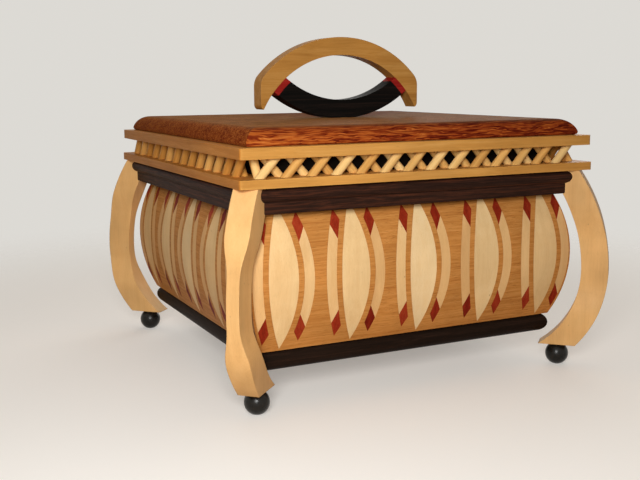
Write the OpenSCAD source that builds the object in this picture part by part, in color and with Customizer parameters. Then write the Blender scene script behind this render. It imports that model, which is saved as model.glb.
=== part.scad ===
// Square footed box with bowed inlaid sides, four waisted corner legs on ball feet,
// and a lift-off lid with a dowel gallery and an arched handle.
// Millimetres, +Z up, origin on the resting surface under the middle of the box.
// The front faces -Y and the handle runs along X.

/* [Box body] */
// Width of the body across the bellies of opposite side panels
body_w = 286; // [270:1:330]
// Height of the underside of the bottom rails above the resting surface
body_lift = 27; // [25:0.5:45]
// Height of each side panel
panel_h = 103; // [100:1:108]
// Thickness of the side panel stock at the belly
panel_t = 22; // [18:0.5:26]
// Height of the belly above the lower edge of the panel
belly_rise = 53; // [48:0.5:58]
// Radius of the panel face above the belly
belly_r_up = 115; // [100:5:180]
// Radius of the panel face below the belly
belly_r_low = 125; // [110:5:180]
// Thickness of the bottom board
board_t = 6; // [4:0.5:9]

/* [Bottom rails] */
// Height of the bottom rail, whose outer edge is a full half round
rail_h = 16; // [13:0.5:20]
// Distance of the rail nose inside the belly of the panel
rail_setback = 11.6; // [9:0.2:13]
// Depth of the rail from its nose to its inner face
rail_depth = 17; // [15:0.5:24]
// Width of the rail step that the bottom board lies on
board_seat = 4; // [3:0.5:6]

/* [Top moulding] */
// Height of the moulding between the panels and the lid
mould_h = 19; // [17:0.5:24]
// Distance of the plain lower face of the moulding outside the belly
mould_out = 3; // [1:0.2:5]
// Depth of the moulding from its plain lower face to its inner face
mould_depth = 17; // [15.5:0.5:20]
// Diameter of the bead along the top of the moulding
bead_d = 10.6; // [8:0.2:12]
// Distance of the bead nose outside the plain lower face
bead_out = 3.9; // [2:0.1:4.5]
// Radius on the lower outer edge of the moulding
mould_edge_r = 1.2; // [0.8:0.1:4]

/* [Inlay] */
// Number of lens and crescent groups on each side
unit_count = 5; // [3:1:5]
// Space between the outermost crescent and the corner, at the belly
unit_margin = 1.4; // [1.2:0.1:10]
// Height of the middle of the inlay above the lower edge of the panel
inlay_rise = 54.4; // [52:0.2:56]
// Half width of the lens
lens_half_w = 11.8; // [8:0.1:12.5]
// Half height of the lens, tip to middle
lens_half_h = 53; // [48:0.2:54]
// Width of the panel wood left between the lens and the crescent
strip_gap = 4.5; // [3:0.1:6]
// Width of the crescent band in its middle
band_w = 8.2; // [5:0.1:9]
// Radius of the outer curve of the crescents
crescent_r = 120; // [112:1:134]
// Height from the middle of the inlay to the inner tip of a diamond
diamond_in = 26.4; // [22:0.2:28]
// Height from the middle of the inlay to the diamond corner beside the crescent
diamond_outer = 37; // [34:0.2:38]
// Height from the middle of the inlay to the diamond corner beside the lens
diamond_inner = 40; // [39:0.2:42]
// Height from the middle of the inlay to the far tip of a diamond
diamond_far = 48.2; // [45:0.2:48.4]
// Depth of the inlay pockets
inlay_t = 3; // [2:0.2:4]

/* [Legs] */
// Thickness of the leg at its top and where it swells below the waist
leg_t = 18.6; // [16:0.2:21]
// Thickness of the leg at its foot
foot_t = 16.4; // [14:0.2:18]
// Thickness of the leg at its waist
waist_t = 9.6; // [8:0.2:13]
// Height of the middle of the waist above the resting surface
waist_z = 89.5; // [85:0.5:95]
// Length of the straight part of the waist
waist_flat = 34; // [24:1:44]
// Length over which the leg swells from the waist to its full thickness
waist_run = 30; // [20:1:34]
// Length below the waist over which the leg keeps its full thickness
swell_flat = 3; // [1:0.5:8]
// Height of the point where the leg stands out farthest
leg_belly_z = 81; // [76:1:86]
// Gap between the corner of the body and the leg, at their bellies
leg_gap = 9.8; // [7:0.2:14]
// Width of the leg from its inner to its outer curve, at its belly
leg_w = 21.6; // [18:0.2:25]
// Radius of the outer curve above the belly of the leg
leg_out_r_up = 149; // [135:1:170]
// Radius of the outer curve below the belly of the leg
leg_out_r_low = 94; // [90:1:110]
// Radius of the inner curve above the belly of the leg
leg_in_r_up = 135; // [125:1:150]
// Radius of the inner curve below the belly of the leg
leg_in_r_low = 77; // [74:1:90]
// Diameter of the dowels that pin each leg to the mouldings
leg_dowel_d = 5; // [4:0.5:6]
// Length of those dowels
leg_dowel_l = 24; // [18:1:30]
// Distance that those dowels reach into the leg
leg_dowel_reach = 9; // [6:0.5:9.5]

/* [Ball feet] */
// Diameter of the ball
ball_d = 19; // [17:0.5:21]
// Depth of the flat that the ball rests on
ball_rest = 0.4; // [0.3:0.1:0.8]
// Depth of the flat under the leg
ball_seat = 0.6; // [0.4:0.1:1]
// Diameter of the pin that holds the ball
pin_d = 4; // [3:0.5:5]
// Distance that the pin reaches into the leg and into the ball
pin_reach = 8; // [6:0.5:8.5]

/* [Lid frame] */
// Distance of the lower strips outside the bead nose
lid_overhang = 3.6; // [2:0.2:8]
// Distance of the upper strips inside the lower strips
upper_inset = 1; // [0:0.2:3]
// Thickness of the lower strips
lower_strip_h = 6.4; // [5:0.2:9]
// Thickness of the upper strips
upper_strip_h = 7.9; // [6:0.1:10]
// Radius of the upright corners of the strips
strip_round = 2.2; // [0.5:0.1:4]
// Height of the open gallery between the strips
gallery_h = 13.8; // [11:0.2:18]
// Thickness of the liner boards behind the gallery
liner_t = 7; // [6:0.5:10]
// Distance that the liner reaches down inside the mouldings
lip_h = 6; // [4:0.5:9]
// Clearance between the liner and the mouldings, each side
lip_clear = 0.6; // [0.4:0.1:1.2]
// Gap between the lid and the body where the lid rests
seat_gap = 0.2; // [0.1:0.1:0.3]

/* [Gallery sticks] */
// Diameter of the dowel sticks
stick_d = 6.35; // [4:0.05:6.5]
// Number of sticks in the outer row of each side
stick_count = 14; // [10:1:14]
// Distance from the middle of the end stick to the outer edge of the lower strip
stick_margin = 24.5; // [24:0.5:34]
// Sideways lean of a stick between the strips
stick_lean = 12.3; // [8:0.1:12.6]
// Distance of the outer row inside the edge of the upper strips
stick_inset = 5; // [4.8:0.1:5.2]
// Gap between the two rows
row_gap = 0.2; // [0.1:0.1:0.3]
// Distance of each inner stick to the right of the outer one, at mid height
row_shift = 5.9; // [5.7:0.1:9.9]
// Depth of the stick holes in the strips
stick_sink = 2.2; // [2.2:0.1:3]
// Lean of the single stick in each corner
corner_lean = 3.5; // [0:0.1:3.5]
// Distance of the corner stick from the middle of the side, short of its row
corner_step = 2.2; // [0.3:0.1:2.5]

/* [Lid panel] */
// Thickness of the lid panel
lid_t = 13; // [12:0.5:16]
// Distance of the panel nose inside the upper strips
lid_setback = 7.6; // [4:0.2:12]
// Radius of the large round over the nose of the lid panel
lid_edge_r = 14; // [13:0.5:20]
// Radius of the small round under the nose
lid_under_r = 2.5; // [1.5:0.5:4]

/* [Handle] */
// Thickness of the handle from front to back
handle_t = 16; // [12:0.5:20]
// Width of the arch over its tips
arch_w = 152.4; // [146:0.2:158]
// Height of the top of the arch above the lid panel
arch_rise = 68.9; // [66:0.1:72]
// Radius of the outer curve of the arch
arch_r_out = 98; // [96:1:110]
// Radius of the inner curve of the arch
arch_r_in = 82.8; // [81:0.2:84]
// Thickness of the arch at its crown
arch_t = 15.2; // [12:0.2:18]
// Height of the arch tips above the lid panel
arch_tip_gap = 7.5; // [5:0.5:12]
// Radius of the shoulders, where the arch turns down to its tips
shoulder_r = 14; // [6:1:20]
// Radius on the outside of each tip
tip_r = 4.5; // [1:0.5:6]
// Radius of the underside of the bow
bow_r = 100; // [95:1:106]
// Depth of the bow section
bow_t = 16; // [13:0.5:18]
// Depth of the flat where the bow stands on the lid panel
bow_flat = 0.6; // [0.4:0.1:1.2]
// Thickness of the end caps of the bow
cap_t = 5.4; // [3:0.1:8]
// Diameter of the dowels that pin the bow to the arch
handle_dowel_d = 5; // [4:0.5:6]
// Distance that those dowels reach into the arch
handle_dowel_in = 11; // [8:0.5:12]
// Distance that those dowels reach past the arch into the cap and the bow
handle_dowel_out = 15; // [10:0.5:17]
// Distance between the two handle screws
screw_pitch = 16; // [12:1:20]
// Diameter of the screw shank
screw_d = 3.5; // [3:0.1:4]
// Diameter of the countersunk screw head
screw_head_d = 7; // [6:0.2:8]
// Distance that the screws reach into the bow
screw_reach = 10; // [8:0.5:11]

/* [Hidden] */

// Angle from one side of the box to the next
quarter_angle = 90;
// Turn of each side about Z, from the front side
front = 0;
right = quarter_angle;
back = 2 * quarter_angle;
left = 3 * quarter_angle;
sides = [front, right, back, left];
// Turn of each corner about Z, from the X axis
back_right = quarter_angle / 2;
back_left = back_right + right;
front_left = back_right + back;
front_right = back_right + left;
corners = [back_right, back_left, front_left, front_right];

// Facets of a circle, of a circle with a long radius and of a thin rod
$fn = 96;
long_fn = 360;
rod_fn = 32;
// Thickness of a glue line, which also keeps neighbours from sharing volume
glue = 0.05;
// Overrun of a cutter past the face that it cuts
over = 1;

// Heights
rail_z = body_lift;
panel_z = rail_z + rail_h;
mould_z = panel_z + panel_h;
body_top = mould_z + mould_h;
lower_z = body_top + seat_gap;
gallery_z = lower_z + lower_strip_h;
upper_z = gallery_z + gallery_h;
lid_z = upper_z + upper_strip_h;
lid_top = lid_z + lid_t;
liner_z = body_top - lip_h;
belly_z = panel_z + belly_rise;
inlay_z = panel_z + inlay_rise;

// Distances of faces from the middle of the box
belly = body_w / 2;
panel_in = belly - panel_t;
rail_nose = belly - rail_setback;
rail_in = rail_nose - rail_depth;
board_half = rail_in + board_seat;
mould_face = belly + mould_out;
mould_in = mould_face - mould_depth;
bead_nose = mould_face + bead_out;
lower_half = bead_nose + lid_overhang;
upper_half = lower_half - upper_inset;
liner_out = mould_in - lip_clear;
liner_in = liner_out - liner_t;
lid_nose = upper_half - lid_setback;
lid_under_x = lid_nose - lid_under_r;
lid_under_z = lid_z + lid_under_r;
lid_edge_z = lid_top - lid_edge_r;
lid_edge_x = lid_under_x
  - sqrt(pow(lid_edge_r - lid_under_r, 2) - pow(lid_under_z - lid_edge_z, 2));
outer_row = upper_half - stick_inset - stick_d / 2;
inner_row = outer_row - stick_d - row_gap;
far = 2 * lower_half;

// Inlay group: the edge of the lens and the inner edge of the crescent share a middle
lens_r = (pow(lens_half_h, 2) + pow(lens_half_w, 2)) / (2 * lens_half_w);
arc_x = lens_half_w - lens_r;
band_in_r = lens_r + strip_gap;
unit_half = lens_half_w + strip_gap + band_w;
crescent_x = unit_half - crescent_r;
unit_pitch = (body_w - 2 * unit_margin - 2 * unit_half) / (unit_count - 1);

// Legs, measured along the diagonal from the middle of the box
diagonal = sqrt(2);
leg_in_s = belly * diagonal + leg_gap;
leg_out_s = leg_in_s + leg_w;
leg_foot_z = ball_d - ball_rest - ball_seat;
leg_root_s = curve_at(leg_in_s, leg_in_r_up, leg_in_r_low, leg_belly_z, mould_z);
foot_in_s = curve_at(leg_in_s, leg_in_r_up, leg_in_r_low, leg_belly_z, leg_foot_z);
foot_out_s = curve_at(leg_out_s, leg_out_r_up, leg_out_r_low, leg_belly_z, leg_foot_z);
ball_s = (foot_in_s + foot_out_s) / 2;
waist_steps = 10;
waist_low_z = waist_z - waist_flat / 2 - waist_run;
waist_high_z = waist_z + waist_flat / 2 + waist_run;
leg_dowel_z = body_top - bead_d / 2;
leg_dowel_w = bead_nose - bead_d / 2;
leg_side_u = leg_dowel_w - leg_t / diagonal;
leg_dowel_tip = leg_side_u + leg_dowel_reach;

// Sticks
stick_pitch = (2 * lower_half - 2 * stick_margin) / (stick_count - 1);
stick_reach = stick_sink / gallery_h;

// Handle arcs, all centred on the middle plane
arch_half = arch_w / 2;
arch_tip_z = lid_top + arch_tip_gap;
arch_out_z = lid_top + arch_rise - arch_r_out;
arch_in_z = lid_top + arch_rise - arch_t - arch_r_in;
shoulder_x = arch_half - shoulder_r;
shoulder_z = arch_out_z + sqrt(pow(arch_r_out - shoulder_r, 2) - pow(shoulder_x, 2));
bow_z = lid_top - bow_flat + bow_r;
bow_top_r = bow_r - bow_t;
bow_mid_r = bow_r - bow_t / 2;
bow_end_r = arch_r_in - cap_t;
// Point where the middle line of the bow meets the underside of the arch
joint_z = (arch_in_z + bow_z
  + (pow(arch_r_in, 2) - pow(bow_mid_r, 2)) / (bow_z - arch_in_z)) / 2;
joint_x = sqrt(pow(arch_r_in, 2) - pow(joint_z - arch_in_z, 2));
joint_turn = atan2(joint_x, bow_z - joint_z);

// Position at height z on a bowed line that stands out to edge at height mid
function curve_at(edge, r_up, r_low, mid, z) =
  let(r = z > mid ? r_up : r_low) edge - r + sqrt(pow(r, 2) - pow(z - mid, 2));

// Soft step from 0 to 1
function ease(t) = (1 - cos(180 * t)) / 2;

// Points on the two edges of the crescent band, a height h above the middle of the inlay
function inner_edge(h) = [arc_x + sqrt(pow(band_in_r, 2) - pow(h, 2)), h];
function outer_edge(h) = [crescent_x + sqrt(pow(crescent_r, 2) - pow(h, 2)), h];

// Area inside a bowed line that stands out to edge at height mid
module bowed(edge, r_up, r_low, mid) {
  intersection() {
    translate([edge - r_up, mid]) circle(r_up, $fn = long_fn);
    translate([0, mid]) square([far, far]);
  }
  intersection() {
    translate([edge - r_low, mid]) circle(r_low, $fn = long_fn);
    translate([0, mid - far]) square([far, far]);
  }
}

// Rectangle from one corner to the opposite one
module block2d(x0, y0, x1, y1) {
  translate([x0, y0]) square([x1 - x0, y1 - y0]);
}

// Area outside a circle about the origin, between two angles less than 180 apart
module round_waste(r, from, to) {
  difference() {
    intersection() {
      rotate(from) block2d(-far, 0, far, far);
      rotate(to) block2d(-far, -far, far, 0);
    }
    circle(r);
  }
}

// Runs a section, drawn as distance out and height, along the front side
module along_side() {
  rotate([90, 0, -90]) linear_extrude(height = 2 * far, center = true) children();
}

// Wedge from the middle of the box to the front side, less a shave at each mitre
module mitre_wedge(shave) {
  linear_extrude(height = far)
    polygon([[0, -shave], [far, -far - shave], [-far, -far - shave]]);
}

// A length of section with mitred ends, turned to its side
module mitred(side) {
  rotate([0, 0, side]) intersection() {
    along_side() children();
    mitre_wedge(0);
  }
}

// Runs an outline, drawn as it is seen from the front, back through the front side
module through_side() {
  rotate([90, 0, 0]) linear_extrude(height = far) children();
}

module panel_section(skin) {
  intersection() {
    bowed(belly - skin, belly_r_up - skin, belly_r_low - skin, belly_z);
    block2d(panel_in, panel_z, belly, mould_z);
  }
}

module lens_outline(gap) {
  intersection() {
    translate([arc_x, 0]) circle(lens_r - gap, $fn = long_fn);
    translate([-arc_x, 0]) circle(lens_r - gap, $fn = long_fn);
  }
}

// The curved band that the crescent and its two diamonds are cut from
module band_outline(gap) {
  difference() {
    translate([crescent_x, 0]) circle(crescent_r - gap, $fn = long_fn);
    translate([arc_x, 0]) circle(band_in_r + gap, $fn = long_fn);
  }
}

// Area above the slanted line through two points of the band
module above_line(a, b, lift) {
  slope = (b[1] - a[1]) / (b[0] - a[0]);
  x0 = a[0] - unit_half;
  x1 = b[0] + unit_half;
  y0 = a[1] - slope * unit_half + lift;
  y1 = b[1] + slope * unit_half + lift;
  polygon([[x0, y0], [x1, y1], [x1, y1 + far], [x0, y1 + far]]);
}

// Area above the joint between a crescent and its diamond
module above_joint(lift) {
  above_line(inner_edge(diamond_in), outer_edge(diamond_outer), lift);
}

// Area above the free edge of a diamond
module above_diamond(lift) {
  above_line(inner_edge(diamond_inner), outer_edge(diamond_far), lift);
}

module diamond_outline(gap) {
  intersection() {
    band_outline(gap);
    difference() {
      above_joint(gap);
      above_diamond(-gap);
    }
  }
}

module crescent_outline(gap) {
  difference() {
    intersection() {
      band_outline(gap);
      block2d(0, -diamond_far, unit_half + over, diamond_far);
    }
    both_ends() above_joint(-gap);
  }
}

// The groove that holds a crescent and its two diamonds end to end
module groove_outline() {
  difference() {
    intersection() {
      band_outline(0);
      block2d(0, -far, unit_half + over, far);
    }
    both_ends() above_diamond(0);
  }
}

// Repeats an outline at each inlay group of a side
module at_units() {
  for (i = [0:unit_count - 1])
    translate([(i - (unit_count - 1) / 2) * unit_pitch, inlay_z]) children();
}

module both_ways() {
  children();
  mirror([1, 0]) children();
}

module both_ends() {
  children();
  mirror([0, 1]) children();
}

// Inlay pieces: an outline cut through the skin of the panel
module inlays(side) {
  rotate([0, 0, side]) intersection() {
    through_side() at_units() children();
    along_side() difference() {
      panel_section(0);
      panel_section(inlay_t);
    }
    mitre_wedge(glue);
  }
}

module side_panel(side) {
  color("peru") rotate([0, 0, side]) difference() {
    intersection() {
      along_side() panel_section(0);
      mitre_wedge(0);
    }
    intersection() {
      union() {
        through_side() at_units() lens_outline(0);
        through_side() at_units() both_ways() groove_outline();
      }
      along_side() difference() {
        block2d(panel_in + over, panel_z - over, belly + over, mould_z + over);
        panel_pocket_floor();
      }
    }
  }
}

module panel_pocket_floor() {
  floor_skin = inlay_t + glue;
  intersection() {
    bowed(belly - floor_skin, belly_r_up - floor_skin, belly_r_low - floor_skin, belly_z);
    block2d(0, 0, far, far);
  }
}

module lens_inlays(side) {
  color("wheat") inlays(side) lens_outline(glue);
}

module crescent_inlays(side) {
  color("wheat") inlays(side) both_ways() crescent_outline(glue);
}

module diamond_inlays(side) {
  color("firebrick") inlays(side) both_ways() both_ends() diamond_outline(glue);
}

module moulding(side) {
  color([0.2, 0.1, 0.08]) difference() {
    mitred(side) {
      difference() {
        block2d(mould_in, mould_z, mould_face, body_top);
        block2d(mould_face - mould_edge_r, mould_z - over, mould_face + over,
          mould_z + mould_edge_r);
      }
      translate([mould_face - mould_edge_r, mould_z + mould_edge_r]) circle(mould_edge_r);
      translate([bead_nose - bead_d / 2, body_top - bead_d / 2]) circle(d = bead_d);
    }
    for (c = corners)
      rotate([0, 0, c]) leg_slot();
    leg_dowel_set(glue);
  }
}

// Notch across a corner of the mouldings that takes the top of a leg
module leg_slot() {
  translate([leg_root_s - glue, -leg_t / 2 - glue, mould_z - over])
    cube([far, leg_t + 2 * glue, mould_h + 2 * over]);
}

module bottom_rail(side) {
  color([0.13, 0.08, 0.07]) mitred(side) difference() {
    union() {
      block2d(rail_in, rail_z, rail_nose - rail_h / 2, panel_z);
      translate([rail_nose - rail_h / 2, rail_z + rail_h / 2]) circle(d = rail_h);
    }
    block2d(rail_in - over, panel_z - board_t - glue, board_half + glue, panel_z + over);
  }
}

module bottom_board() {
  color("tan") translate([-board_half, -board_half, panel_z - board_t])
    cube([2 * board_half, 2 * board_half, board_t]);
}

// Half thickness of a leg at height z
function leg_half(z) =
  let(d = abs(z - waist_z) - waist_flat / 2)
  d <= 0 ? waist_t / 2
  : d >= waist_run ? leg_t / 2
  : (waist_t + (leg_t - waist_t) * ease(d / waist_run)) / 2;

module leg_side_view() {
  difference() {
    intersection() {
      bowed(leg_out_s, leg_out_r_up, leg_out_r_low, leg_belly_z);
      block2d(leg_out_s / 2, leg_foot_z, far, body_top);
    }
    intersection() {
      bowed(leg_in_s, leg_in_r_up, leg_in_r_low, leg_belly_z);
      block2d(0, 0, far, mould_z);
    }
    block2d(0, mould_z - over, leg_root_s, body_top + over);
  }
}

// What is cut from one face of a leg to make its waist
module waist_cut() {
  rise = [for (i = [0:waist_steps]) waist_low_z + waist_run * i / waist_steps];
  fall = [for (i = [0:waist_steps]) waist_high_z - waist_run * (1 - i / waist_steps)];
  polygon(concat(
    [[leg_t, waist_low_z]],
    [for (z = rise) [leg_half(z), z]],
    [for (z = fall) [leg_half(z), z]],
    [[leg_t, waist_high_z]]
  ));
}

// What is cut from one face of a leg to thin it towards its foot
module foot_cut() {
  polygon([
    [leg_t, leg_foot_z - over], [foot_t / 2, leg_foot_z - over],
    [leg_t / 2, waist_low_z - swell_flat], [leg_t, waist_low_z - swell_flat]
  ]);
}

// Both cuts, run through the leg from one face
module leg_face_cut() {
  rotate([90, 0, 90]) linear_extrude(height = far) {
    waist_cut();
    foot_cut();
  }
}

module leg(corner) {
  color("burlywood") difference() {
    rotate([0, 0, corner]) difference() {
      rotate([90, 0, 0]) linear_extrude(height = leg_t, center = true) leg_side_view();
      leg_face_cut();
      mirror([0, 1, 0]) leg_face_cut();
      translate([ball_s, 0, leg_foot_z - over])
        cylinder(d = pin_d + 2 * glue, h = pin_reach + glue + over);
    }
    leg_dowel_set(glue);
  }
}

module ball_foot(corner) {
  color([0.06, 0.06, 0.06]) rotate([0, 0, corner]) translate([ball_s, 0, 0]) difference() {
    intersection() {
      translate([0, 0, ball_d / 2 - ball_rest]) sphere(d = ball_d);
      translate([-ball_d, -ball_d, 0]) cube([2 * ball_d, 2 * ball_d, leg_foot_z]);
    }
    translate([0, 0, leg_foot_z - pin_reach - glue])
      cylinder(d = pin_d + 2 * glue, h = pin_reach + glue + over);
  }
}

module ball_foot_pins() {
  color("tan") for (c = corners)
    rotate([0, 0, c]) translate([ball_s, 0, leg_foot_z - pin_reach])
      cylinder(d = pin_d, h = 2 * pin_reach);
}

// Two dowels at each corner, one along the end of each moulding into the leg
module leg_dowel_set(gap) {
  for (s = sides, m = [0, 1])
    rotate([0, 0, s]) mirror([m, 0, 0])
      translate([leg_dowel_tip - leg_dowel_l - gap, -leg_dowel_w, leg_dowel_z])
        rotate([0, 90, 0]) cylinder(d = leg_dowel_d + 2 * gap, h = leg_dowel_l + 2 * gap);
}

module leg_dowels() {
  color("tan") leg_dowel_set(0);
}

// A stick through the gallery: its middle, its row and its sideways lean
module stick(mid, row, lean, gap) {
  low = [mid - lean * (0.5 + stick_reach), gallery_z - stick_sink];
  high = [mid + lean * (0.5 + stick_reach), upper_z + stick_sink];
  run = norm(high - low);
  translate([low[0], -row, low[1]]) rotate([0, atan2(high[0] - low[0], high[1] - low[1]), 0])
    translate([0, 0, -gap]) cylinder(d = stick_d + 2 * gap, h = run + 2 * gap, $fn = rod_fn);
}

// Middle of outer stick i along its side
function stick_x(i) = (i - (stick_count - 1) / 2) * stick_pitch;

module outer_sticks(gap) {
  for (i = [0:stick_count - 1])
    stick(stick_x(i), outer_row, stick_lean, gap);
}

// The inner row leans the other way and leaves the last place to the next corner
module inner_sticks(gap) {
  for (i = [0:stick_count - 2])
    stick(stick_x(i) + row_shift, inner_row, -stick_lean, gap);
}

module corner_stick(gap) {
  stick(corner_step - inner_row, inner_row, -corner_lean, gap);
}

module gallery_sticks(side) {
  color("khaki") rotate([0, 0, side]) {
    outer_sticks(0);
    inner_sticks(0);
    corner_stick(0);
  }
}

// Every stick hole that a strip of the front side shares
module stick_holes() {
  outer_sticks(glue);
  inner_sticks(glue);
  corner_stick(glue);
  rotate([0, 0, right]) corner_stick(glue);
}

// A mitred strip with rounded upright corners and the holes for the sticks
module strip(side, half, low, high) {
  difference() {
    mitred(side) block2d(liner_out, low, half, high);
    rotate([0, 0, side]) both_ways()
      translate([half - strip_round, strip_round - half, low - over])
        linear_extrude(height = high - low + 2 * over) round_waste(strip_round, -90, 0);
    rotate([0, 0, side]) stick_holes();
  }
}

module upper_strip(side) {
  color("burlywood") strip(side, upper_half, upper_z, lid_z);
}

module lower_strip(side) {
  color("burlywood") strip(side, lower_half, lower_z, gallery_z);
}

module lid_liner(side) {
  color([0.1, 0.07, 0.06]) mitred(side) block2d(liner_in, liner_z, liner_out, lid_z);
}

// Section of the lid panel: a large round over the nose runs into a small one under it
module lid_section() {
  turn = atan2(lid_under_z - lid_edge_z, lid_under_x - lid_edge_x);
  difference() {
    block2d(-lid_nose - over, lid_z, lid_nose + over, lid_top);
    both_ways() {
      translate([lid_edge_x, lid_edge_z]) round_waste(lid_edge_r, turn, 90);
      translate([lid_under_x, lid_under_z]) round_waste(lid_under_r, -90, turn);
    }
  }
}

module lid_slab() {
  rotate([90, 0, 0]) linear_extrude(height = 2 * far, center = true) lid_section();
}

module lid_panel() {
  color("sienna") difference() {
    intersection() {
      lid_slab();
      rotate([0, 0, right]) lid_slab();
      translate([-far, -far, lid_z]) cube([2 * far, 2 * far, lid_t]);
    }
    handle_screw_set(glue);
  }
}

module handle_screw_set(gap) {
  cone_h = (screw_head_d - screw_d) / 2;
  for (x = [-screw_pitch / 2, screw_pitch / 2])
    translate([x, 0, lid_z]) {
      cylinder(d = screw_d + 2 * gap, h = lid_t + screw_reach + gap, $fn = rod_fn);
      cylinder(d1 = screw_head_d + 2 * gap, d2 = screw_d + 2 * gap, h = cone_h, $fn = rod_fn);
    }
}

module handle_screws() {
  color("goldenrod") handle_screw_set(0);
}

// Runs an outline, drawn as the handle is seen from the front, to its thickness
module handle_slab() {
  rotate([90, 0, 0]) linear_extrude(height = handle_t, center = true) children();
}

// Outer line of the arch: a long curve, rounded shoulders, upright sides, rounded tips
module arch_blank() {
  turn = atan2(shoulder_z - arch_out_z, shoulder_x);
  difference() {
    intersection() {
      translate([0, arch_out_z]) circle(arch_r_out, $fn = long_fn);
      block2d(-arch_half, arch_tip_z, arch_half, lid_top + arch_rise + over);
    }
    both_ways() {
      translate([shoulder_x, shoulder_z]) round_waste(shoulder_r, 0, turn);
      translate([arch_half - tip_r, arch_tip_z + tip_r]) round_waste(tip_r, -90, 0);
    }
  }
}

module handle_arch() {
  color("burlywood") difference() {
    handle_slab() difference() {
      arch_blank();
      arch_disc(arch_r_in);
    }
    handle_dowel_set(glue);
  }
}

// The bow as it is seen from the front, run on past the arch
module bow_ring() {
  difference() {
    translate([0, bow_z]) circle(bow_r, $fn = long_fn);
    translate([0, bow_z]) circle(bow_top_r, $fn = long_fn);
  }
}

// Disc about the middle of the inner curve of the arch
module arch_disc(r) {
  translate([0, arch_in_z]) circle(r, $fn = long_fn);
}

module handle_bow() {
  color([0.08, 0.06, 0.06]) difference() {
    handle_slab() intersection() {
      bow_ring();
      arch_disc(bow_end_r);
      block2d(-arch_w / 2, lid_top, arch_w / 2, lid_top + arch_rise);
    }
    handle_dowel_set(glue);
    handle_screw_set(glue);
  }
}

module handle_cap_right() {
  color("firebrick") difference() {
    handle_slab() intersection() {
      bow_ring();
      difference() {
        arch_disc(arch_r_in - glue);
        arch_disc(bow_end_r + glue);
      }
      block2d(0, lid_top, arch_w, lid_top + arch_rise);
    }
    handle_dowel_set(glue);
  }
}

module handle_cap_left() {
  mirror([1, 0, 0]) handle_cap_right();
}

// One dowel at each end of the bow, along its middle line
module handle_dowel_set(gap) {
  reach = handle_dowel_in + handle_dowel_out;
  for (m = [0, 1])
    mirror([m, 0, 0]) translate([joint_x, 0, joint_z]) rotate([0, 90 - joint_turn, 0])
      translate([0, 0, -handle_dowel_out - gap])
        cylinder(d = handle_dowel_d + 2 * gap, h = reach + 2 * gap, $fn = rod_fn);
}

module handle_dowels() {
  color("tan") handle_dowel_set(0);
}

lid_panel();
upper_strip(front);  // upper_strip_front
upper_strip(right);  // upper_strip_right
upper_strip(back);  // upper_strip_back
upper_strip(left);  // upper_strip_left
lower_strip(front);  // lower_strip_front
lower_strip(right);  // lower_strip_right
lower_strip(back);  // lower_strip_back
lower_strip(left);  // lower_strip_left
gallery_sticks(front);  // gallery_sticks_front
gallery_sticks(right);  // gallery_sticks_right
gallery_sticks(back);  // gallery_sticks_back
gallery_sticks(left);  // gallery_sticks_left
lid_liner(front);  // lid_liner_front
lid_liner(right);  // lid_liner_right
lid_liner(back);  // lid_liner_back
lid_liner(left);  // lid_liner_left
handle_arch();
handle_bow();
handle_cap_left();
handle_cap_right();
handle_dowels();
handle_screws();
moulding(front);  // moulding_front
moulding(right);  // moulding_right
moulding(back);  // moulding_back
moulding(left);  // moulding_left
side_panel(front);  // side_panel_front
side_panel(right);  // side_panel_right
side_panel(back);  // side_panel_back
side_panel(left);  // side_panel_left
lens_inlays(front);  // lens_inlays_front
lens_inlays(right);  // lens_inlays_right
lens_inlays(back);  // lens_inlays_back
lens_inlays(left);  // lens_inlays_left
crescent_inlays(front);  // crescent_inlays_front
crescent_inlays(right);  // crescent_inlays_right
crescent_inlays(back);  // crescent_inlays_back
crescent_inlays(left);  // crescent_inlays_left
diamond_inlays(front);  // diamond_inlays_front
diamond_inlays(right);  // diamond_inlays_right
diamond_inlays(back);  // diamond_inlays_back
diamond_inlays(left);  // diamond_inlays_left
bottom_rail(front);  // bottom_rail_front
bottom_rail(right);  // bottom_rail_right
bottom_rail(back);  // bottom_rail_back
bottom_rail(left);  // bottom_rail_left
bottom_board();
leg(front_left);  // leg_front_left
leg(front_right);  // leg_front_right
leg(back_right);  // leg_back_right
leg(back_left);  // leg_back_left
ball_foot(front_left);  // ball_foot_front_left
ball_foot(front_right);  // ball_foot_front_right
ball_foot(back_right);  // ball_foot_back_right
ball_foot(back_left);  // ball_foot_back_left
ball_foot_pins();
leg_dowels();
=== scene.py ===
import math

import bmesh
import bpy
from mathutils import Matrix, Vector

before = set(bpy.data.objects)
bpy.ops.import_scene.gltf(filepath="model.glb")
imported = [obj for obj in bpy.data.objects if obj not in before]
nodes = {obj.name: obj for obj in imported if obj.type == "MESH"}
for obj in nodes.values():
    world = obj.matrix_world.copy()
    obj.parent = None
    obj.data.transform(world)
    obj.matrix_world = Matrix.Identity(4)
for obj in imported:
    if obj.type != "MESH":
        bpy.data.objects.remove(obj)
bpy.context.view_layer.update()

MM = 0.001
MM_PER_METRE = 1000.0
SIDES = ("front", "right", "back", "left")
CORNERS = ("front_left", "front_right", "back_right", "back_left")

# Sizes in mm that the patterns follow
UNIT_PITCH = 58.55  # from one group of inlays to the next
INLAY_Z = 97.4  # middle height of the inlays
STICK_PITCH = 19.846  # from one gallery stick to the next in its row
GALLERY_MID_Z = 178.5  # middle height of the gallery
STICK_SLOPE = 12.3 / 13.8  # sideways lean of a stick over its height
ROW_SHIFT = 5.9  # how far along the inner row of sticks stands from the outer one
ROW_PART = 141.05  # distance from the middle of the box that parts the two rows

# Shifts along the grain in mm that give each corner, side and stick a figure of its own
CORNER_SHIFT = 310.0
SIDE_SHIFT = 417.0
STICK_SHIFT = 61.0
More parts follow.
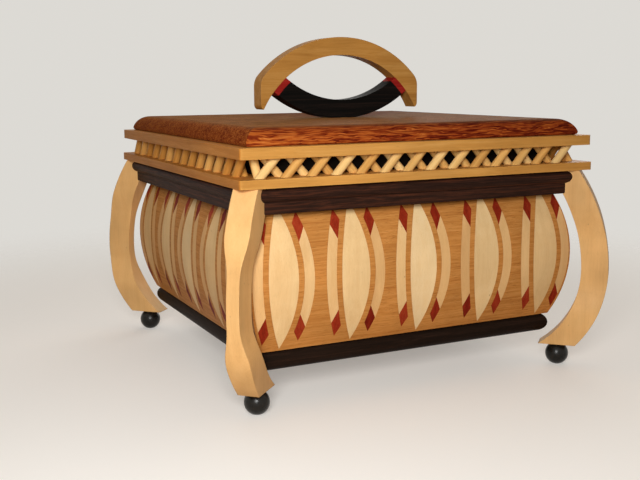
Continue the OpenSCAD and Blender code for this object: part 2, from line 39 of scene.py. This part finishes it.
# Steps that keep the numbers of corners, sides, rows and sticks apart
NUMBER_STEP = 3.0
STICK_STEP = 7.0

# Patterns of a plain wood, in waves per mm along the grain and to both sides of it
SWAY_WAVES = (0.006, 0.02, 0.02)
STREAK_WAVES_ALONG = 0.004
FIBRE_WAVES = (0.035, 1.5, 1.5)
PORE_WAVES = (0.16, 3.4, 3.4)
CURL_WAVES = (0.11, 0.02, 0.02)
CLOUD_WAVES = (0.018, 0.03, 0.03)
FLECK_WAVES = (0.05, 0.075, 0.075)
SWAY_MM = 16.0  # how far the grain wanders
SWAY_OUT = 0.7  # share of the wander in its third direction
STREAK_GAIN = 2.2
FIBRE_GAIN = 1.5
BOTH_WAYS = 2.0  # from a strength each way to the whole width of a noise
TONE_KEY = 1.7  # second number of the draw for a whole piece's tone
# Levels of a pattern between which its mark comes up or fades
PORE_LEVELS = (0.60, 0.72)
CLOUD_LEVELS = (0.3, 0.7)
FLECK_LEVELS = (0.02, 0.05)
WEAR_AND_HIGHLIGHT_LEVELS = (0.995, 0.90)  # cosine between the true and the rounded surface
CLOUD_LIGHTER = 0.6  # share of the mottling that lightens
MARK_SHADE = 0.45  # tone of pores and flecks next to the darkest wood
WEAR_AND_HIGHLIGHT_TONE = 1.5  # tone of a lighter edge, partly wear and partly a painted highlight, next to the body of the wood
WEAR_AND_HIGHLIGHT_MM = 0.9
FIBRE_GLOSS = -0.22
PORE_DULL = 0.18
PORE_DEPTH = -0.7
COAT_ROUGH = 0.2
OILED = 0.35  # specular level of the plain woods inside


class Tree:
    """One material, with short calls for the shader nodes in it."""

    def __init__(self, name):
        self.mat = bpy.data.materials.new(name)
        self.mat.use_nodes = True
        self.nt = self.mat.node_tree
        self.nt.nodes.clear()
        self.shader = self.node("ShaderNodeBsdfPrincipled")
        self.out = self.node("ShaderNodeOutputMaterial")
        self.nt.links.new(self.shader.outputs[0], self.out.inputs["Surface"])

    def node(self, kind, **props):
        made = self.nt.nodes.new(kind)
        for key, value in props.items():
            setattr(made, key, value)
        return made

    def put(self, socket, value):
        """Link a socket to another node's output, or give it a value."""
        if isinstance(value, bpy.types.NodeSocket):
            self.nt.links.new(value, socket)
        elif value is not None:
            socket.default_value = value

    def math(self, op, a, b=None, c=None):
        made = self.node("ShaderNodeMath", operation=op)
        for socket, value in zip(made.inputs, (a, b, c)):
            self.put(socket, value)
        return made.outputs[0]

    def vector(self, op, a, b):
        made = self.node("ShaderNodeVectorMath", operation=op)
        self.put(made.inputs[0], a)
        self.put(made.inputs[1], b)
        return made.outputs[0]

    def join(self, x, y, z):
        made = self.node("ShaderNodeCombineXYZ")
        for socket, value in zip(made.inputs, (x, y, z)):
            self.put(socket, value)
        return made.outputs[0]

    def split(self, v):
        made = self.node("ShaderNodeSeparateXYZ")
        self.put(made.inputs[0], v)
        return made.outputs

    def noise(self, p, waves, detail, rough=0.55, twist=0.0):
        made = self.node("ShaderNodeTexNoise")
        self.put(made.inputs["Vector"], self.vector("MULTIPLY", p, waves))
        made.inputs["Scale"].default_value = 1.0
        made.inputs["Detail"].default_value = detail
        made.inputs["Roughness"].default_value = rough
        made.inputs["Distortion"].default_value = twist
        return made.outputs[0]

    def cells(self, p, waves):
        """Distance to the middle of the nearest of scattered cells."""
        made = self.node("ShaderNodeTexVoronoi", feature="F1")
        self.put(made.inputs["Vector"], self.vector("MULTIPLY", p, waves))
        made.inputs["Scale"].default_value = 1.0
        return made.outputs[0]

    def chance(self, v):
        """One number from 0 to 1 for each value of a vector."""
        made = self.node("ShaderNodeTexWhiteNoise", noise_dimensions="3D")
        self.put(made.inputs["Vector"], v)
        return made.outputs[0]

    def remap(self, value, low, high, to_low=0.0, to_high=1.0, smooth=False):
        made = self.node("ShaderNodeMapRange")
        if smooth:
            made.interpolation_type = "SMOOTHSTEP"
        for key, v in zip(range(5), (value, low, high, to_low, to_high)):
            self.put(made.inputs[key], v)
        return made.outputs[0]

    def off_half(self, value, gain, base):
        """base, moved by gain times how far the value is from a half."""
        return self.math("MULTIPLY_ADD", self.math("SUBTRACT", value, 0.5), gain, base)

    def mix(self, fac, a, b):
        """a where fac is 0 and b where it is 1. A number's sockets are 2 and 3 of the node."""
        made = self.node("ShaderNodeMix", data_type="FLOAT")
        self.put(made.inputs[0], fac)
        self.put(made.inputs[2], a)
        self.put(made.inputs[3], b)
        return made.outputs[0]

    def blend(self, fac, a, b, mode="MIX"):
        """The same for colours, whose sockets are 6 and 7, with the result in output 2."""
        made = self.node("ShaderNodeMix", data_type="RGBA", blend_type=mode)
        self.put(made.inputs[0], fac)
        self.put(made.inputs[6], rgba(a))
        self.put(made.inputs[7], rgba(b))
        return made.outputs[2]

    def ramp(self, fac, *stops):
        made = self.node("ShaderNodeValToRGB")
        self.put(made.inputs[0], fac)
        bar = made.color_ramp
        while len(bar.elements) < len(stops):
            bar.elements.new(0.5)
        for element, (at, colour) in zip(bar.elements, stops):
            element.position = at
            element.color = rgba(colour)
        return made.outputs[0]

    def finish(self, colour, rough, height, depth_mm, edge_mm, specular, coat=0.0):
        """Fill in the shader, with a bump of depth_mm and edges softened over edge_mm."""
        bsdf = self.shader
        self.put(bsdf.inputs["Base Color"], colour)
        self.put(bsdf.inputs["Roughness"], rough)
        bsdf.inputs["Specular IOR Level"].default_value = specular
        bsdf.inputs["Coat Weight"].default_value = coat
        bsdf.inputs["Coat Roughness"].default_value = COAT_ROUGH
        bump = self.node("ShaderNodeBump")
        self.put(bump.inputs["Height"], height)
        bump.inputs["Strength"].default_value = 1.0
        bump.inputs["Distance"].default_value = depth_mm * MM
        if edge_mm:
            soft = self.node("ShaderNodeBevel", samples=6)
            soft.inputs["Radius"].default_value = edge_mm * MM
            self.put(bump.inputs["Normal"], soft.outputs[0])
        self.put(bsdf.inputs["Normal"], bump.outputs[0])
        return self.mat


def rgba(colour):
    """A colour of three numbers with alpha added, and anything else as it is."""
    if isinstance(colour, tuple) and len(colour) == 3:
        return (*colour, 1.0)
    return colour


def shaded(colour, by):
    return tuple(min(1.0, by * c) for c in colour)


def place(t):
    """The point on the object, in mm."""
    made = t.node("ShaderNodeTexCoord")
    return t.vector("MULTIPLY", made.outputs["Object"], (MM_PER_METRE,) * 3)


def side_place(t):
    """The point as it lies on the front side: along it, out, up, and a number for its side."""
    x, y, z = t.split(place(t))
    wide = t.math("GREATER_THAN", t.math("ABSOLUTE", y), t.math("ABSOLUTE", x))
    main = t.mix(wide, x, y)
    other = t.mix(wide, y, t.math("MULTIPLY", x, -1.0))
    sign = t.math("SIGN", main)
    along = t.math("MULTIPLY", other, sign)
    number = t.math("MULTIPLY_ADD", wide, NUMBER_STEP, sign)
    return along, t.math("ABSOLUTE", main), z, number


def grain_place(t, run):
    """The point in mm with its first part along the grain, and a number for the piece."""
    if run == "across":
        return place(t), 0.0
    if run == "arch":
        x, y, z = t.split(place(t))
        return t.join(x, z, y), 0.0
    if run == "upright":
        x, y, z = t.split(place(t))
        corner = t.math("MULTIPLY_ADD", t.math("SIGN", x), NUMBER_STEP, t.math("SIGN", y))
        return t.join(t.math("MULTIPLY_ADD", corner, CORNER_SHIFT, z), x, y), corner
    along, out, z, number = side_place(t)
    far = t.math("MULTIPLY", number, SIDE_SHIFT)
    if run == "side":
        return t.join(t.math("ADD", along, far), out, z), number
    if run == "inlay":
        return t.join(t.math("ADD", z, far), along, out), number
    # A gallery stick, which leans one way in the outer row and the other in the inner one
    outer = t.math("GREATER_THAN", out, ROW_PART)
    lean = t.mix(outer, STICK_SLOPE, -STICK_SLOPE)
    rise = t.math("SUBTRACT", z, GALLERY_MID_Z)
    across = t.math("MULTIPLY_ADD", rise, lean, along)
    place_no = t.math("FLOOR", t.math("ADD", t.math("DIVIDE", across, STICK_PITCH),
                                      t.mix(outer, -ROW_SHIFT / STICK_PITCH, 0.0)))
    row_no = t.math("MULTIPLY_ADD", outer, NUMBER_STEP, number)
    stick_no = t.math("MULTIPLY_ADD", place_no, STICK_STEP, row_no)
    return t.join(t.math("MULTIPLY_ADD", stick_no, STICK_SHIFT, z), across, out), stick_no


def wander(t, p, waves, detail, reach_mm):
    """How far the grain has moved sideways at a point, in mm."""
    sway = t.noise(p, waves, detail)
    return t.math("MULTIPLY_ADD", sway, reach_mm, -reach_mm / 2)


def tone_pick(t, number, tone_cell, tone_seed):
    """One number from 0 to 1 for each piece, or for each inlay of a side.

    tone_cell holds the pitch of the inlays in mm, their shift as a share of it, and
    whether those above and below the middle differ."""
    if tone_cell is None:
        return t.chance(t.join(number, TONE_KEY, 0.0))
    along, _, z, side = side_place(t)
    size, shift, split_z = tone_cell
    cell = t.math("FLOOR", t.math("ADD", t.math("DIVIDE", along, size), shift))
    half = t.math("GREATER_THAN", z, INLAY_Z) if split_z else tone_seed
    return t.chance(t.join(cell, side, half))


def wood(name, run, dark, body, light, streak, fine, pores, mottle, rough, depth_mm, edge_mm,
         specular=OILED, streak_width=6.0, figure=0.0, tone=0.0, tone_cell=None,
         tone_seed=0.0, pore_colour=None, wear_and_highlight=0.0, flecks=0.0):
    """Planed and oiled wood: broad streaks, fine fibres, short pores, mottling, soft edges.

    figure adds curls across the grain, tone tells one piece from the next, the edge tone
    lightens the edges, partly as wear and partly as a painted highlight, and flecks adds small
    dark spots."""
    t = Tree(name)
    p, number = grain_place(t, run)
    lift = wander(t, p, SWAY_WAVES, 2.0, SWAY_MM)
    q = t.vector("ADD", p, t.join(0.0, lift, t.math("MULTIPLY", lift, SWAY_OUT)))
    streak_waves = (STREAK_WAVES_ALONG, 1.0 / streak_width, 1.0 / streak_width)
    broad = t.noise(q, streak_waves, detail=3.0, rough=0.6)
    fibre = t.noise(q, FIBRE_WAVES, detail=4.0, rough=0.65)
    pore = t.noise(q, PORE_WAVES, detail=1.0, rough=0.4)
    pore = t.remap(pore, *PORE_LEVELS, smooth=True)
    streaks = t.math("MULTIPLY", t.math("SUBTRACT", broad, 0.5), STREAK_GAIN * streak)
    fibres = t.math("MULTIPLY", t.math("SUBTRACT", fibre, 0.5), FIBRE_GAIN * fine)
    grain = t.math("ADD", streaks, fibres)
    if figure:
        curl = t.noise(p, CURL_WAVES, detail=2.0, rough=0.5)
        grain = t.off_half(curl, BOTH_WAYS * figure, grain)
    level = t.math("ADD", grain, 0.5)
    if tone:
        pick = tone_pick(t, number, tone_cell, tone_seed)
        level = t.off_half(pick, BOTH_WAYS * tone, level)
    colour = t.ramp(level, (0.0, dark), (0.5, body), (1.0, light))
    cloud = t.noise(p, CLOUD_WAVES, detail=2.0)
    shade = t.remap(cloud, *CLOUD_LEVELS, 1.0 - mottle, 1.0 + mottle * CLOUD_LIGHTER)
    colour = t.blend(1.0, colour, t.join(shade, shade, shade), "MULTIPLY")
    deep = pore_colour or shaded(dark, MARK_SHADE)
    colour = t.blend(t.math("MULTIPLY", pore, pores), colour, deep)
    if flecks:
        fleck = t.cells(t.vector("ADD", p, t.join(lift, lift, 0.0)), FLECK_WAVES)
        fleck = t.remap(fleck, *FLECK_LEVELS, flecks, 0.0, smooth=True)
        colour = t.blend(fleck, colour, shaded(dark, MARK_SHADE))
    # Lighter edges: wear, and on the strips partly a painted highlight.
    if wear_and_highlight:
        edge = wear_and_highlight_edge(t)
        colour = t.blend(t.math("MULTIPLY", edge, wear_and_highlight), colour, shaded(body, WEAR_AND_HIGHLIGHT_TONE))
    dull = t.off_half(fibre, FIBRE_GLOSS, rough)
    dull = t.math("MULTIPLY_ADD", pore, PORE_DULL * pores, dull)
    height = t.math("MULTIPLY_ADD", pore, PORE_DEPTH * min(1.0, 2.0 * pores), fibre)
    return t.finish(colour, dull, height, depth_mm, edge_mm, specular)


def wear_and_highlight_edge(t):
    """1 near a sharp edge and 0 away from it, marking edges lightened as wear and, on the
    strips, as a painted highlight.
    """
    soft = t.node("ShaderNodeBevel", samples=4)
    soft.inputs["Radius"].default_value = WEAR_AND_HIGHLIGHT_MM * MM
    flat = t.node("ShaderNodeNewGeometry")
    made = t.node("ShaderNodeVectorMath", operation="DOT_PRODUCT")
    t.put(made.inputs[0], soft.outputs[0])
    t.put(made.inputs[1], flat.outputs["Normal"])
    return t.remap(made.outputs["Value"], *WEAR_AND_HIGHLIGHT_LEVELS)


def lacewood(name):
    """Dark red wood with thin orange flames and veins along the grain, with painted light that
    makes it lighter to the left and darker to the right.

    Its end grain is darker, its flat top carries painted shade and reflection in a dull olive
    brown, and a warm sheen lies over it."""
    flame_share, vein_share, fibre_gain, broad_gain = 0.50, 0.28, 0.5, 0.4
    lid_half_mm, left_painted_light, right_painted_shade = 150.0, 0.12, -0.22
    t = Tree(name)
    p = place(t)
    x = t.split(p)[0]
    lift = wander(t, p, (0.020, 0.08, 0.08), 3.0, 9.0)
    q = t.vector("ADD", p, t.join(0.0, lift, lift))
    flame = t.noise(q, (0.052, 1.0, 1.0), detail=2.0, rough=0.5, twist=0.3)
    flame = t.remap(flame, 0.42, 0.58, smooth=True)
    vein = t.noise(q, (0.10, 1.9, 1.9), detail=2.0, rough=0.5)
    vein = t.remap(vein, 0.46, 0.60, smooth=True)
    fibre = t.noise(q, (0.05, 2.2, 2.2), detail=3.0, rough=0.6)
    broad = t.noise(q, (0.010, 0.05, 0.05), detail=2.0)
    glow = t.math("MULTIPLY_ADD", vein, vein_share, t.math("MULTIPLY", flame, flame_share))
    glow = t.off_half(fibre, fibre_gain, glow)
    glow = t.off_half(broad, broad_gain, glow)
    # Painted light falloff: the wood is lightened towards -X and darkened towards +X.
    glow = t.math("ADD", glow, t.remap(x, -lid_half_mm, lid_half_mm, left_painted_light, right_painted_shade))
    colour = t.ramp(glow, (0.0, (0.095, 0.009, 0.004)), (0.30, (0.24, 0.034, 0.008)),
                    (0.60, (0.42, 0.092, 0.014)), (1.0, (0.61, 0.200, 0.040)))
    facing = t.split(t.node("ShaderNodeNewGeometry").outputs["Normal"])
    end_grain = t.remap(t.math("ABSOLUTE", facing[0]), 0.30, 0.75, 0.0, 0.35, smooth=True)
    colour = t.blend(end_grain, colour, (0.060, 0.009, 0.003))
    # Painted shade and reflection: faces turned up are blended towards a dark olive brown.
    top = t.remap(facing[2], 0.80, 1.0, 0.0, 0.40, smooth=True)
    colour = t.blend(top, colour, (0.090, 0.050, 0.018))
    dull = t.math("MULTIPLY_ADD", flame, -0.08, 0.56)
    height = t.math("MULTIPLY_ADD", flame, 0.5, fibre)
    t.shader.inputs["Sheen Weight"].default_value = 0.065
    t.shader.inputs["Sheen Roughness"].default_value = 0.35
    t.shader.inputs["Sheen Tint"].default_value = (1.0, 0.64, 0.22, 1.0)
    return t.finish(colour, dull, height, depth_mm=0.04, edge_mm=0.5, specular=0.002)


def lacquer(name):
    """Black gloss lacquer over a turned wooden ball, with faint turning rings and dust."""
    rings_per_mm = 9.0
    t = Tree(name)
    p = place(t)
    z = t.split(p)[2]
    rings = t.math("SINE", t.math("MULTIPLY", z, rings_per_mm))
    cloud = t.noise(p, (0.25, 0.25, 0.25), detail=4.0)
    dust = t.noise(p, (2.4, 2.4, 2.4), detail=2.0)
    colour = t.ramp(cloud, (0.3, (0.006, 0.006, 0.005)), (0.75, (0.016, 0.013, 0.010)))
    colour = t.blend(t.remap(dust, 0.66, 0.76, 0.0, 0.25), colour, (0.06, 0.05, 0.04))
    dull = t.remap(cloud, *CLOUD_LEVELS, 0.24, 0.36)
    height = t.math("MULTIPLY_ADD", rings, 0.25, cloud)
    return t.finish(colour, dull, height, depth_mm=0.03, edge_mm=0.2, specular=0.20, coat=0.06)


def brass(name):
    """Turned brass with fine rings and a little tarnish."""
    t = Tree(name)
    p = place(t)
    cloud = t.noise(p, (0.5, 0.5, 0.5), detail=4.0)
    rings = t.noise(p, (0.1, 0.1, 6.0), detail=2.0)
    colour = t.ramp(cloud, (0.3, (0.42, 0.27, 0.09)), (0.7, (0.72, 0.50, 0.18)))
    t.shader.inputs["Metallic"].default_value = 1.0
    dull = t.remap(cloud, *CLOUD_LEVELS, 0.40, 0.24)
    return t.finish(colour, dull, rings, depth_mm=0.02, edge_mm=0.2, specular=0.5)


def dress(material, *names):
    for name in names:
        slots = nodes[name].data.materials
        slots.clear()
        slots.append(material)


def on_sides(stem, sides=SIDES):
    return [f"{stem}_{side}" for side in sides]


def at_corners(stem):
    return [f"{stem}_{corner}" for corner in CORNERS]


# Woods, each with its own grain. The three colours are the dark, body and light tones.
leg_maple = wood("leg_maple", "upright", (0.66, 0.35, 0.125), (0.81, 0.475, 0.185),
                 (0.90, 0.57, 0.25), streak=0.30, fine=0.35, pores=0.12, mottle=0.15,
                 rough=0.42, depth_mm=0.03, edge_mm=0.9, figure=0.14, tone=0.05,
                 specular=0.08, flecks=0.4)
dress(leg_maple, *at_corners("leg"))

# The strips and sticks of the left and right sides are a darker, deeper copy of the maple:
# painted shade.
strip = dict(streak=0.5, fine=0.4, pores=0.16, mottle=0.12, rough=0.44, depth_mm=0.03,
             edge_mm=0.5, tone=0.05, streak_width=4.0, specular=0.04)
# The lighter edges of the strips are partly wear and partly a painted highlight on their
# corners.
strip_maple = wood("strip_maple", "side", (0.45, 0.185, 0.035), (0.62, 0.300, 0.070),
                   (0.76, 0.42, 0.130), wear_and_highlight=0.35, **strip)
strip_maple_painted_shade = wood("strip_maple_painted_shade", "side", (0.38, 0.130, 0.020), (0.52, 0.205, 0.038),
                   (0.66, 0.31, 0.080), wear_and_highlight=0.30, **strip)
stick = dict(streak=0.35, fine=0.4, pores=0.12, mottle=0.08, rough=0.45, depth_mm=0.03,
             edge_mm=0.0, tone=0.34, streak_width=3.0, specular=0.06)
stick_maple = wood("stick_maple", "stick", (0.56, 0.26, 0.055), (0.77, 0.45, 0.140),
                   (0.90, 0.63, 0.27), **stick)
stick_maple_painted_shade = wood("stick_maple_painted_shade", "stick", (0.44, 0.165, 0.025), (0.66, 0.310, 0.066),
                   (0.82, 0.47, 0.14), **stick)
for strip_wood, stick_wood, sides in ((strip_maple, stick_maple, ("front", "back")),
                                      (strip_maple_painted_shade, stick_maple_painted_shade, ("left", "right"))):
    dress(strip_wood, *on_sides("upper_strip", sides), *on_sides("lower_strip", sides))
    dress(stick_wood, *on_sides("gallery_sticks", sides))

pale_inlay = dict(streak=0.35, fine=0.40, pores=0.14, mottle=0.10, rough=0.42,
                  depth_mm=0.02, edge_mm=0.0, specular=0.05)
lens_maple = wood("lens_maple", "inlay", (0.78, 0.49, 0.215), (0.88, 0.61, 0.30),
                  (0.95, 0.71, 0.40), tone=0.34, figure=0.16, flecks=0.6,
                  tone_cell=(UNIT_PITCH, 0.5, False), tone_seed=89.0, **pale_inlay)
dress(lens_maple, *on_sides("lens_inlays"))

crescent_maple = wood("crescent_maple", "inlay", (0.70, 0.38, 0.145), (0.80, 0.49, 0.21),
                      (0.90, 0.61, 0.30), tone=0.26, flecks=0.5,
                      tone_cell=(UNIT_PITCH / 2, 0.0, False), **pale_inlay)
dress(crescent_maple, *on_sides("crescent_inlays"))

diamond_wood = wood("diamond_bloodwood", "inlay", (0.14, 0.008, 0.004),
                    (0.29, 0.026, 0.009), (0.46, 0.060, 0.020), streak=0.4, fine=0.5,
                    pores=0.30, mottle=0.12, rough=0.46, depth_mm=0.02, edge_mm=0.0,
                    tone=0.34, streak_width=2.5, tone_cell=(UNIT_PITCH / 2, 0.0, True),
                    specular=0.04)
dress(diamond_wood, *on_sides("diamond_inlays"))

panel_cherry = wood("panel_cherry", "side", (0.40, 0.130, 0.026), (0.57, 0.238, 0.056),
                    (0.70, 0.340, 0.100), streak=0.45, fine=0.85, pores=0.50, mottle=0.14,
                    rough=0.46, depth_mm=0.03, edge_mm=0.3, streak_width=1.9,
                    pore_colour=(0.20, 0.055, 0.012), specular=0.05)
dress(panel_cherry, *on_sides("side_panel"))

wenge = wood("moulding_wenge", "side", (0.007, 0.004, 0.003), (0.033, 0.014, 0.009),
             (0.100, 0.031, 0.015), streak=0.70, fine=0.9, pores=0.5, mottle=0.15,
             rough=0.50, depth_mm=0.05, edge_mm=0.4, streak_width=1.7, specular=0.04,
             wear_and_highlight=0.12)
dress(wenge, *on_sides("moulding"))

rail_dark = wood("rail_dark", "side", (0.006, 0.004, 0.003), (0.015, 0.008, 0.005),
                 (0.034, 0.017, 0.011), streak=0.50, fine=0.7, pores=0.4, mottle=0.10,
                 rough=0.46, depth_mm=0.05, edge_mm=0.4, streak_width=2.6, specular=0.03,
                 wear_and_highlight=0.10)
dress(rail_dark, *on_sides("bottom_rail"))

liner = wood("liner_dark", "side", (0.004, 0.003, 0.002), (0.007, 0.005, 0.004),
             (0.016, 0.010, 0.007), streak=0.4, fine=0.6, pores=0.4, mottle=0.12,
             rough=0.70, depth_mm=0.04, edge_mm=0.3, specular=0.03)
dress(liner, *on_sides("lid_liner"))

arch_maple = wood("arch_maple", "arch", (0.39, 0.160, 0.030), (0.56, 0.258, 0.056),
                  (0.71, 0.38, 0.108), streak=0.55, fine=0.5, pores=0.16, mottle=0.12,
                  rough=0.42, depth_mm=0.03, edge_mm=0.7, streak_width=5.0, specular=0.05,
                  wear_and_highlight=0.30)
dress(arch_maple, "handle_arch")

ebony = wood("bow_ebony", "arch", (0.003, 0.0027, 0.0024), (0.006, 0.005, 0.0042),
             (0.028, 0.016, 0.012), streak=0.55, fine=0.8, pores=0.3, mottle=0.10,
             rough=0.50, depth_mm=0.04, edge_mm=0.5, streak_width=2.0, specular=0.03)
dress(ebony, "handle_bow")

cap_wood = wood("cap_bloodwood", "arch", (0.17, 0.008, 0.006), (0.36, 0.018, 0.014),
                (0.55, 0.050, 0.030), streak=0.5, fine=0.5, pores=0.35, mottle=0.12,
                rough=0.46, depth_mm=0.03, edge_mm=0.4, streak_width=2.5, specular=0.05)
dress(cap_wood, "handle_cap_left", "handle_cap_right")

dress(lacewood("lid_lacewood"), "lid_panel")

board_wood = wood("board_wood", "across", (0.40, 0.24, 0.11), (0.58, 0.38, 0.19),
                  (0.70, 0.50, 0.29), streak=0.6, fine=0.5, pores=0.2, mottle=0.12,
                  rough=0.5, depth_mm=0.04, edge_mm=0.4, streak_width=8.0)
dress(board_wood, "bottom_board")

dowel_wood = wood("dowel_wood", "upright", (0.48, 0.29, 0.12), (0.64, 0.42, 0.20),
                  (0.76, 0.54, 0.30), streak=0.4, fine=0.5, pores=0.2, mottle=0.1,
                  rough=0.5, depth_mm=0.04, edge_mm=0.2)
dress(dowel_wood, "handle_dowels", "leg_dowels", "ball_foot_pins")

dress(lacquer("ball_lacquer"), *at_corners("ball_foot"))
dress(brass("screw_brass"), "handle_screws")


def seen(nt):
    """1 where a surface is looked at, straight or in a gloss, and 0 where it gives light."""
    path = nt.nodes.new("ShaderNodeLightPath")
    value = path.outputs["Is Camera Ray"]
    for kind in ("Is Glossy Ray", "Is Transmission Ray"):
        either = nt.nodes.new("ShaderNodeMath")
        either.operation = "MAXIMUM"
        nt.links.new(value, either.inputs[0])
        nt.links.new(path.outputs[kind], either.inputs[1])
        value = either.outputs[0]
    return value


def pale_floor():
    """A round floor, pale to look at, which fades into the background away from the box.

    It gives a warmer, dimmer light than it shows, and fades sooner to look at. Distances
    are in metres from the middle of the box."""
    radius, segments = 3.2, 96
    given_light, looks = (0.42, 0.29, 0.18), (0.72, 0.69, 0.65)
    glow, glow_strength = (0.90, 0.87, 0.82), 0.34
    light_from, light_to = 0.35, 1.3
    look_from, look_to = 0.32, 0.85
    mesh = bpy.data.meshes.new("floor")
    shape = bmesh.new()
    bmesh.ops.create_circle(shape, cap_ends=True, radius=radius, segments=segments)
    shape.to_mesh(mesh)
    shape.free()
    floor = bpy.data.objects.new("floor", mesh)
    bpy.context.scene.collection.objects.link(floor)
    t = Tree("floor")
    looked_at = seen(t.nt)
    t.put(t.shader.inputs["Base Color"], t.blend(looked_at, given_light, looks))
    t.shader.inputs["Emission Color"].default_value = rgba(glow)
    strength = t.math("MULTIPLY", looked_at, glow_strength)
    t.put(t.shader.inputs["Emission Strength"], strength)
    t.shader.inputs["Roughness"].default_value = 0.9
    t.shader.inputs["Specular IOR Level"].default_value = 0.1
    where = t.node("ShaderNodeTexCoord")
    far = t.node("ShaderNodeVectorMath", operation="LENGTH")
    t.put(far.inputs[0], where.outputs["Object"])
    light_fade = t.remap(far.outputs["Value"], light_from, light_to, smooth=True)
    look_fade = t.remap(far.outputs["Value"], look_from, look_to, smooth=True)
    clear = t.node("ShaderNodeBsdfTransparent")
    both = t.node("ShaderNodeMixShader")
    t.put(both.inputs[0], t.mix(looked_at, light_fade, look_fade))
    t.put(both.inputs[1], t.shader.outputs[0])
    t.put(both.inputs[2], clear.outputs[0])
    t.put(t.out.inputs["Surface"], both.outputs[0])
    mesh.materials.append(t.mat)


def studio():
    """Dim warm surroundings for light, which look like a pale backdrop."""
    world = bpy.data.worlds.new("studio")
    bpy.context.scene.world = world
    world.use_nodes = True
    nt = world.node_tree
    nt.nodes.clear()

    def background(colour, strength):
        made = nt.nodes.new("ShaderNodeBackground")
        made.inputs["Color"].default_value = rgba(colour)
        made.inputs["Strength"].default_value = strength
        return made.outputs[0]

    both = nt.nodes.new("ShaderNodeMixShader")
    out = nt.nodes.new("ShaderNodeOutputWorld")
    nt.links.new(seen(nt), both.inputs[0])
    nt.links.new(background((1.0, 0.74, 0.46), 0.09), both.inputs[1])
    nt.links.new(background((0.72, 0.70, 0.66), 1.0), both.inputs[2])
    nt.links.new(both.outputs[0], out.inputs["Surface"])


def soft_lamp(name, at, aim, size, watts, colour, spread=180.0):
    """A round lamp of a size in metres, shining from one point towards another."""
    light = bpy.data.lights.new(name, "AREA")
    light.shape = "DISK"
    light.size = size
    light.energy = watts
    light.color = colour
    light.spread = math.radians(spread)
    lamp = bpy.data.objects.new(name, light)
    bpy.context.scene.collection.objects.link(lamp)
    lamp.location = at
    lamp.rotation_euler = (Vector(aim) - Vector(at)).to_track_quat("-Z", "Y").to_euler()


def camera():
    """The photograph's viewpoint: eye in metres, focus in pixels of a picture 640 wide."""
    eye = Vector((-0.38308, -0.74621, 0.23732))
    turn, tilt, roll = math.radians(26.034), math.radians(9.5226), math.radians(-0.388)
    focus_px, picture_px, sensor_mm = 943.84, 640.0, 36.0
    ahead = Vector((math.sin(turn) * math.cos(tilt), math.cos(turn) * math.cos(tilt),
                    -math.sin(tilt)))
    level = Vector((math.cos(turn), -math.sin(turn), 0.0))
    above = level.cross(ahead)
    right = math.cos(roll) * level + math.sin(roll) * above
    up = -math.sin(roll) * level + math.cos(roll) * above
    data = bpy.data.cameras.new("camera")
    data.sensor_fit = "HORIZONTAL"
    data.sensor_width = sensor_mm
    data.lens = focus_px * sensor_mm / picture_px
    data.clip_start = 0.01
    made = bpy.data.objects.new("camera", data)
    bpy.context.scene.collection.objects.link(made)
    axes = Matrix((right, up, -ahead)).transposed().to_4x4()
    made.matrix_world = Matrix.Translation(eye) @ axes
    bpy.context.scene.camera = made


pale_floor()
studio()
soft_lamp("key", at=(-0.435, -0.74, 0.34), aim=(-0.14, -0.05, 0.08), size=0.28, watts=2.92,
          colour=(1.0, 1.0, 1.0), spread=130.0)
soft_lamp("overhead", at=(0.2, 0.8, 2.3), aim=(0.0, 0.4, 0.0), size=2.4, watts=11.0,
          colour=(1.0, 0.98, 0.96))
soft_lamp("behind", at=(1.5, 1.5, 0.9), aim=(0.0, 0.0, 0.1), size=1.6, watts=14.0,
          colour=(1.0, 0.97, 0.94))
camera()
bpy.context.scene.view_settings.view_transform = "Standard"
